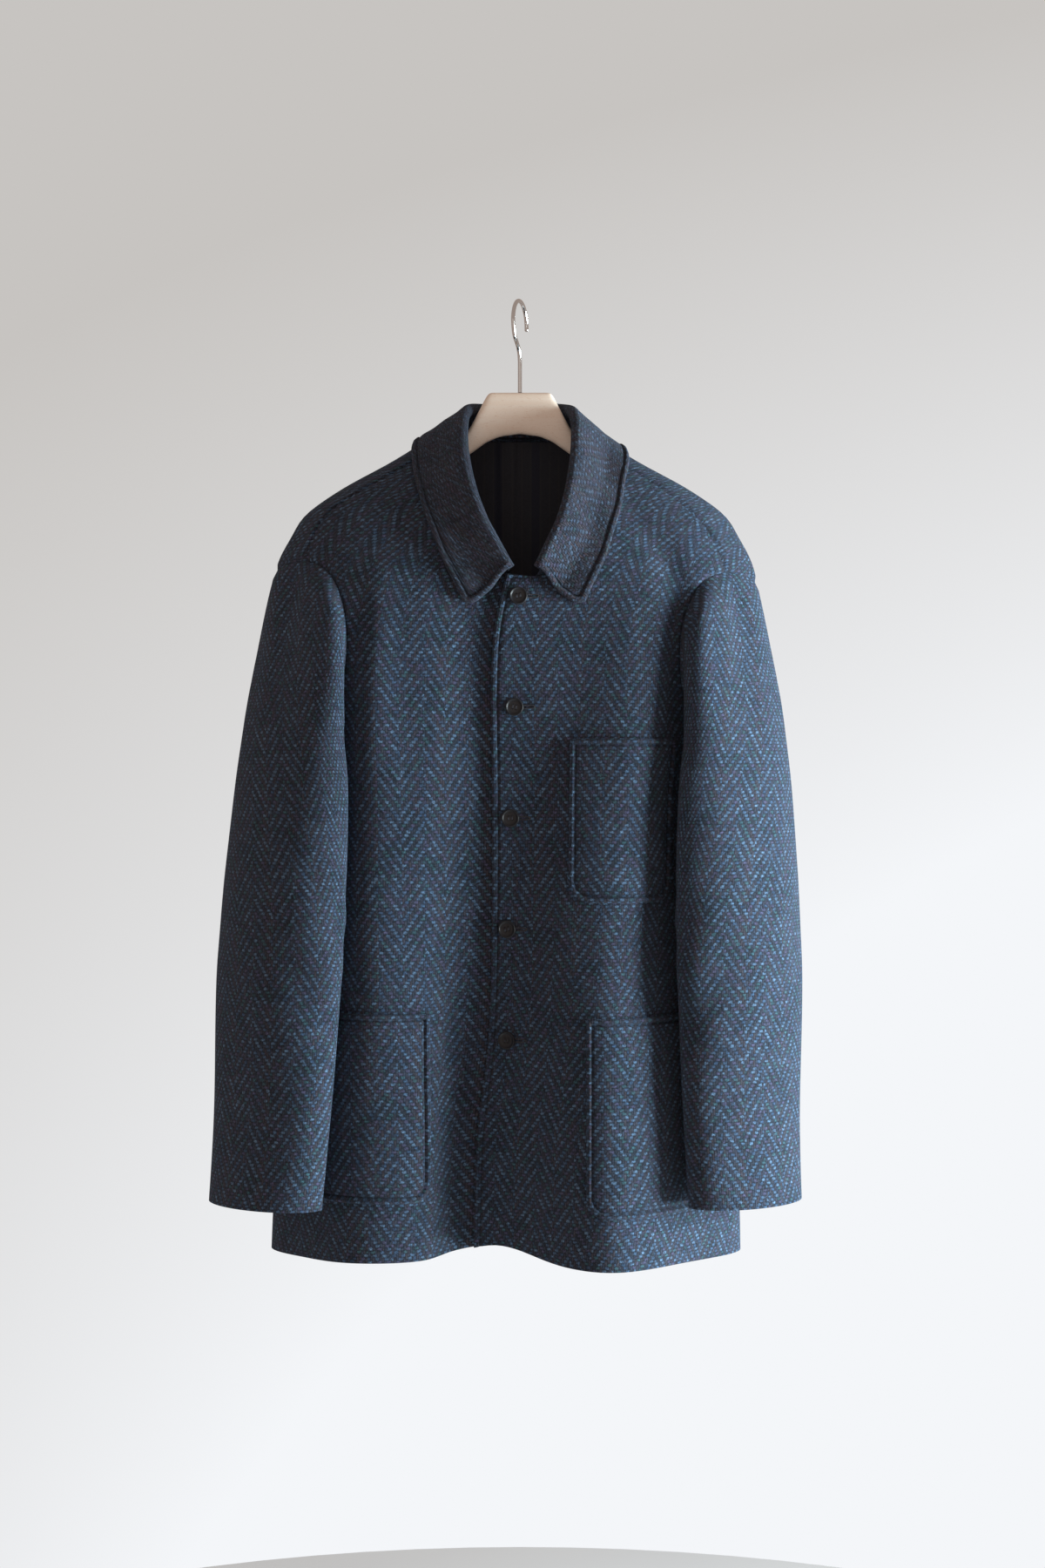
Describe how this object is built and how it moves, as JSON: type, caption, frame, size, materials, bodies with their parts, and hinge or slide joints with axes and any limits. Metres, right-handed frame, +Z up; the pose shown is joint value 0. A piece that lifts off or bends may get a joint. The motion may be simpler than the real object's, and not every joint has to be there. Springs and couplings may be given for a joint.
{
  "type": "work jacket on a wooden hanger",
  "caption": "Long-sleeved buttoned work jacket in herringbone wool with turned-down collar and patch pockets, hanging on a wooden hanger; neck, cuffs and hem are open.",
  "frame": {"origin": "inside of the hook's crook, at its top, where a rail carries the hanger", "axes": "+Z up, -Y out of the jacket's front, +X to the viewer's right, which is the wearer's left"},
  "size_m": [0.5771, 0.2322, 0.9481],
  "materials": {
    "wool": "matt, fuzzy 2/2 herringbone twill in navy, dark brown and light blue",
    "lining": "dark navy with faint stripes",
    "button": "dark, rimmed, satin",
    "hanger_wood": "pale, smooth, satin varnish",
    "hook_chrome": "polished"
  },
  "bodies": {
    "root": {"front_left": "wool", "front_right": "wool", "back": "wool", "sleeve_left": "wool", "sleeve_right": "wool", "collar": "wool", "pocket_chest": "wool", "pocket_lower_left": "wool", "pocket_lower_right": "wool", "button_1": "button", "button_2": "button", "button_3": "button", "button_4": "button", "button_5": "button", "back_lining": "lining", "hanger_wood": "hanger_wood", "hanger_hook": "hook_chrome"}
  },
  "joints": []
}
